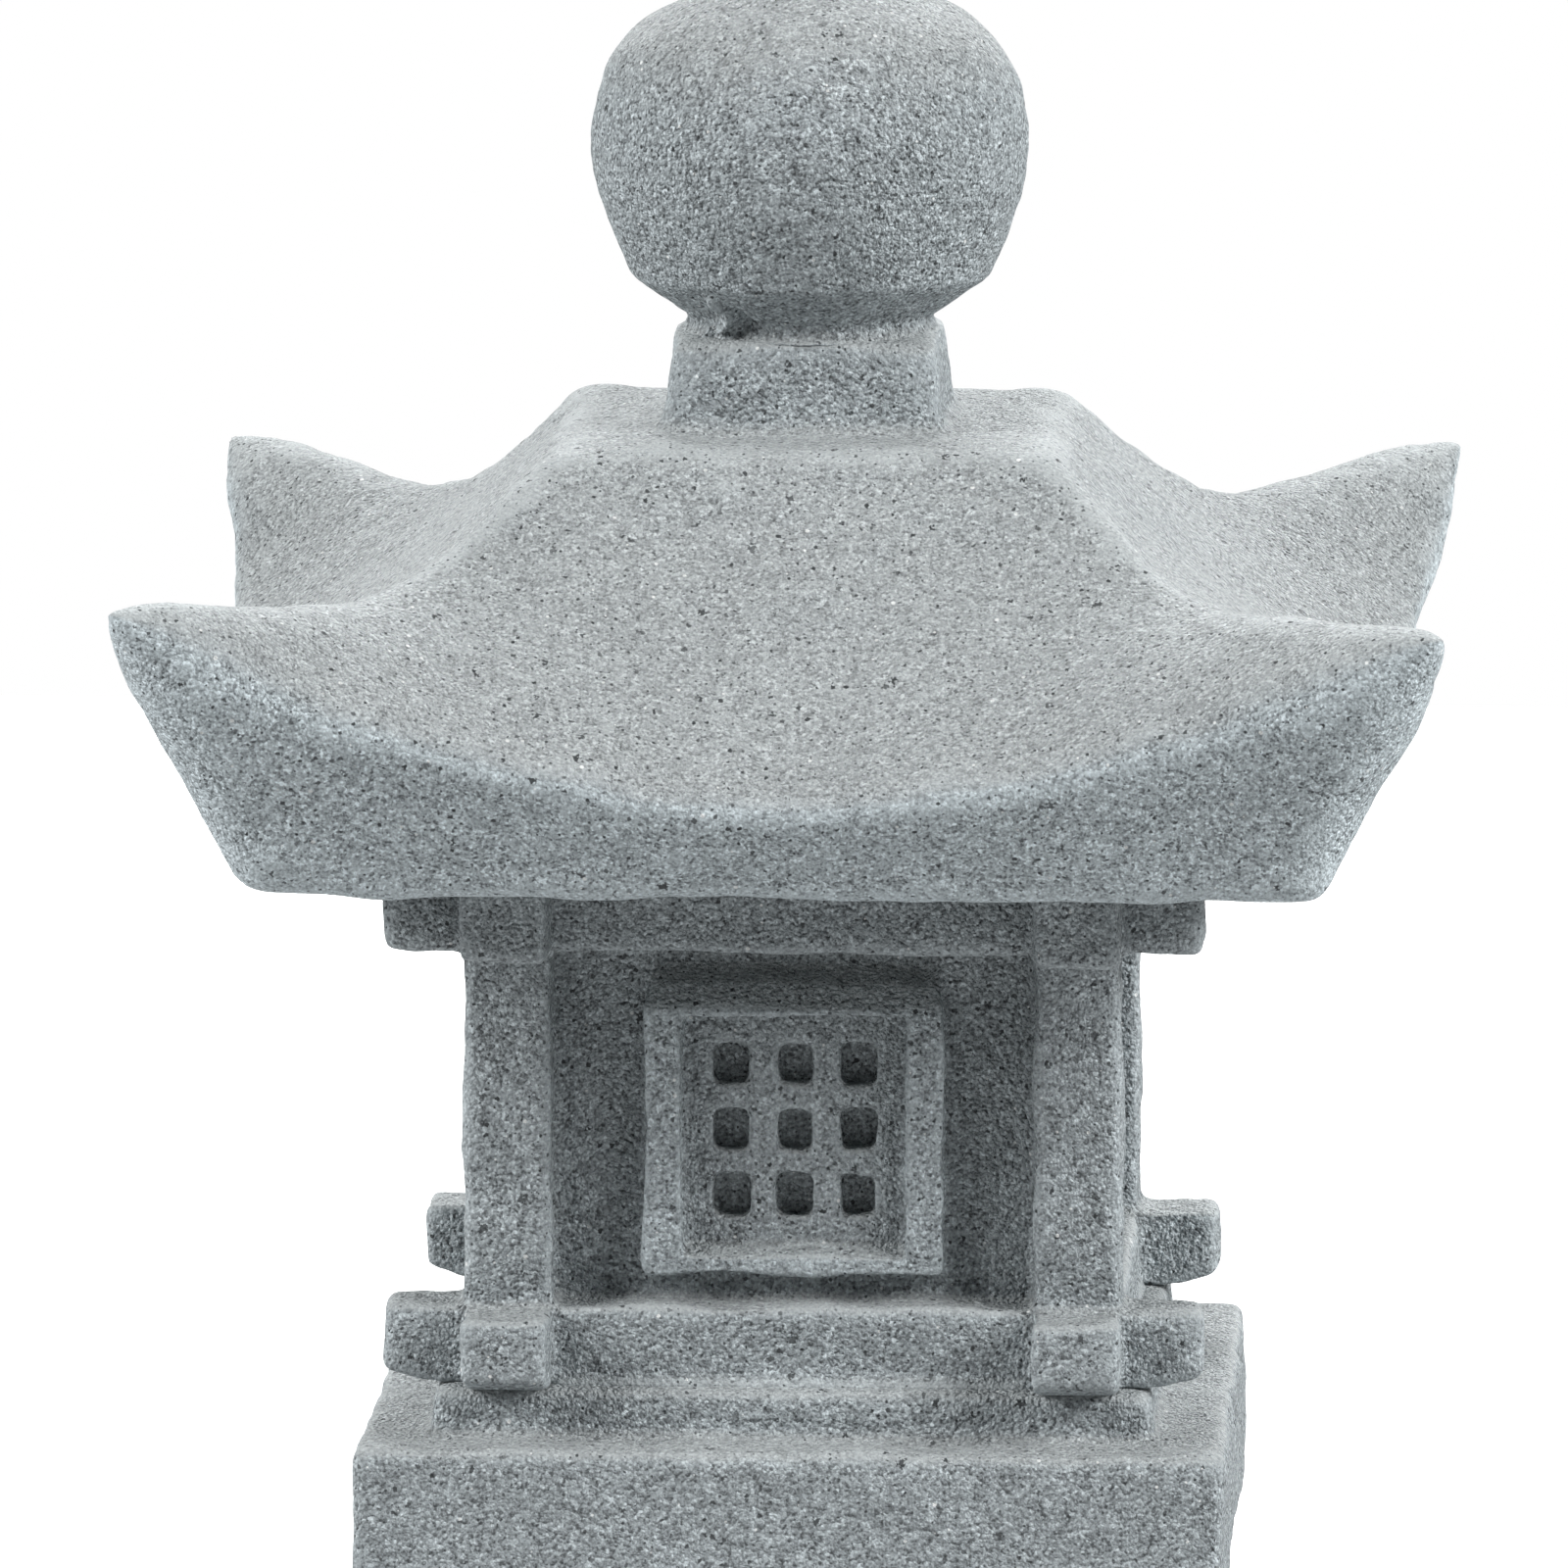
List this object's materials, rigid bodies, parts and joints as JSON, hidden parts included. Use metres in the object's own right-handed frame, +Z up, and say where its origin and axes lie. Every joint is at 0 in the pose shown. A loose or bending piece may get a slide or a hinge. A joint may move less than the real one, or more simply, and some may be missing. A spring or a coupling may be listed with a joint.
{
  "type": "stone lantern",
  "caption": "Square stacked garden lantern in cast stone: flared post, slab platform, firebox with blind lattice windows, roof with upturned corners and a jewel finial",
  "frame": {"origin": "centre of the base's underside, on the ground", "axes": "+Z up along the stack of stones, -Y out of the front window, +X to the right seen from the front"},
  "size_m": [0.153, 0.153, 0.2863],
  "materials": {
    "cast_stone": "matte, fine grey salt-and-pepper sand grain with small dark specks"
  },
  "bodies": {
    "base": {"base": "cast_stone"},
    "post": {"post": "cast_stone"},
    "platform": {"platform": "cast_stone"},
    "firebox": {"firebox": "cast_stone"},
    "roof": {"roof": "cast_stone"},
    "finial": {"finial": "cast_stone"}
  },
  "joints": [
    {"name": "post_lift", "type": "slide", "parent": "base", "child": "post", "axis": [0, 0, 1], "range_m": [0, 0.05]},
    {"name": "platform_lift", "type": "slide", "parent": "post", "child": "platform", "axis": [0, 0, 1], "range_m": [0, 0.05]},
    {"name": "firebox_lift", "type": "slide", "parent": "platform", "child": "firebox", "axis": [0, 0, 1], "range_m": [0, 0.06]},
    {"name": "roof_lift", "type": "slide", "parent": "firebox", "child": "roof", "axis": [0, 0, 1], "range_m": [0, 0.08]},
    {"name": "finial_lift", "type": "slide", "parent": "roof", "child": "finial", "axis": [0, 0, 1], "range_m": [0, 0.06]}
  ]
}
